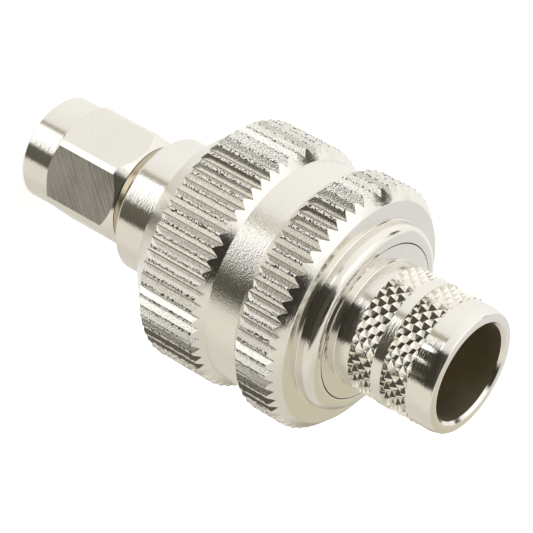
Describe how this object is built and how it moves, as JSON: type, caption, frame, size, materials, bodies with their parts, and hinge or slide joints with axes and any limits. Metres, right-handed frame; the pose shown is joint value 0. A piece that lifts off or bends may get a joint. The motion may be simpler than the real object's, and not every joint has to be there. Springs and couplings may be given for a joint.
{
  "type": "reverse polarity sma connector",
  "caption": "Coaxial connector: small hex-nut plug on an adapter, screwed to a large knurled crimp plug with an open, diamond-knurled cable stub.",
  "frame": {"origin": "on the axis, in the plane of the hex nut's nose", "axes": "+Z along the connector's axis, from the hex nut towards the cable mouth; X and Y across it"},
  "size_m": [0.0186, 0.0186, 0.0375],
  "materials": {
    "nickel_plate": "bright nickel plate over turned brass",
    "contact_gold": "smooth gold plate",
    "white_insulator": "waxy white fluoropolymer",
    "gasket": "matt silicone rubber",
    "spring_ring": "plain spring bronze"
  },
  "bodies": {
    "adapter": {"sma_body": "nickel_plate", "sma_nut_ring": "spring_ring", "sma_gasket": "gasket", "jack_body": "nickel_plate", "sma_dielectric": "white_insulator", "jack_dielectric": "white_insulator", "adapter_contact": "contact_gold"},
    "sma_nut": {"sma_coupling_nut": "nickel_plate"},
    "cable_plug": {"crimp_body": "nickel_plate", "coupling_nut_ring": "spring_ring", "coupling_gasket": "gasket", "plug_outer_contact": "contact_gold", "plug_dielectric": "white_insulator", "rear_bead": "white_insulator", "centre_pin": "contact_gold"},
    "knurled_nut": {"coupling_nut": "nickel_plate"}
  },
  "joints": [
    {"name": "sma_nut_spin", "type": "hinge", "parent": "adapter", "child": "sma_nut", "pos_m": [0, 0, 0.00708], "axis": [0, 0, 1], "continuous": true},
    {"name": "plug_slide", "type": "slide", "parent": "adapter", "child": "cable_plug", "axis": [0, 0, 1], "range_m": [0, 0.0073]},
    {"name": "coupling_nut_spin", "type": "hinge", "parent": "cable_plug", "child": "knurled_nut", "pos_m": [0, 0, 0.02622], "axis": [0, 0, 1], "range_deg": [0, 2880]}
  ],
  "couplings": [
    {"joint": "plug_slide", "follows": "coupling_nut_spin", "m_per_rad": 0.00014438}
  ]
}
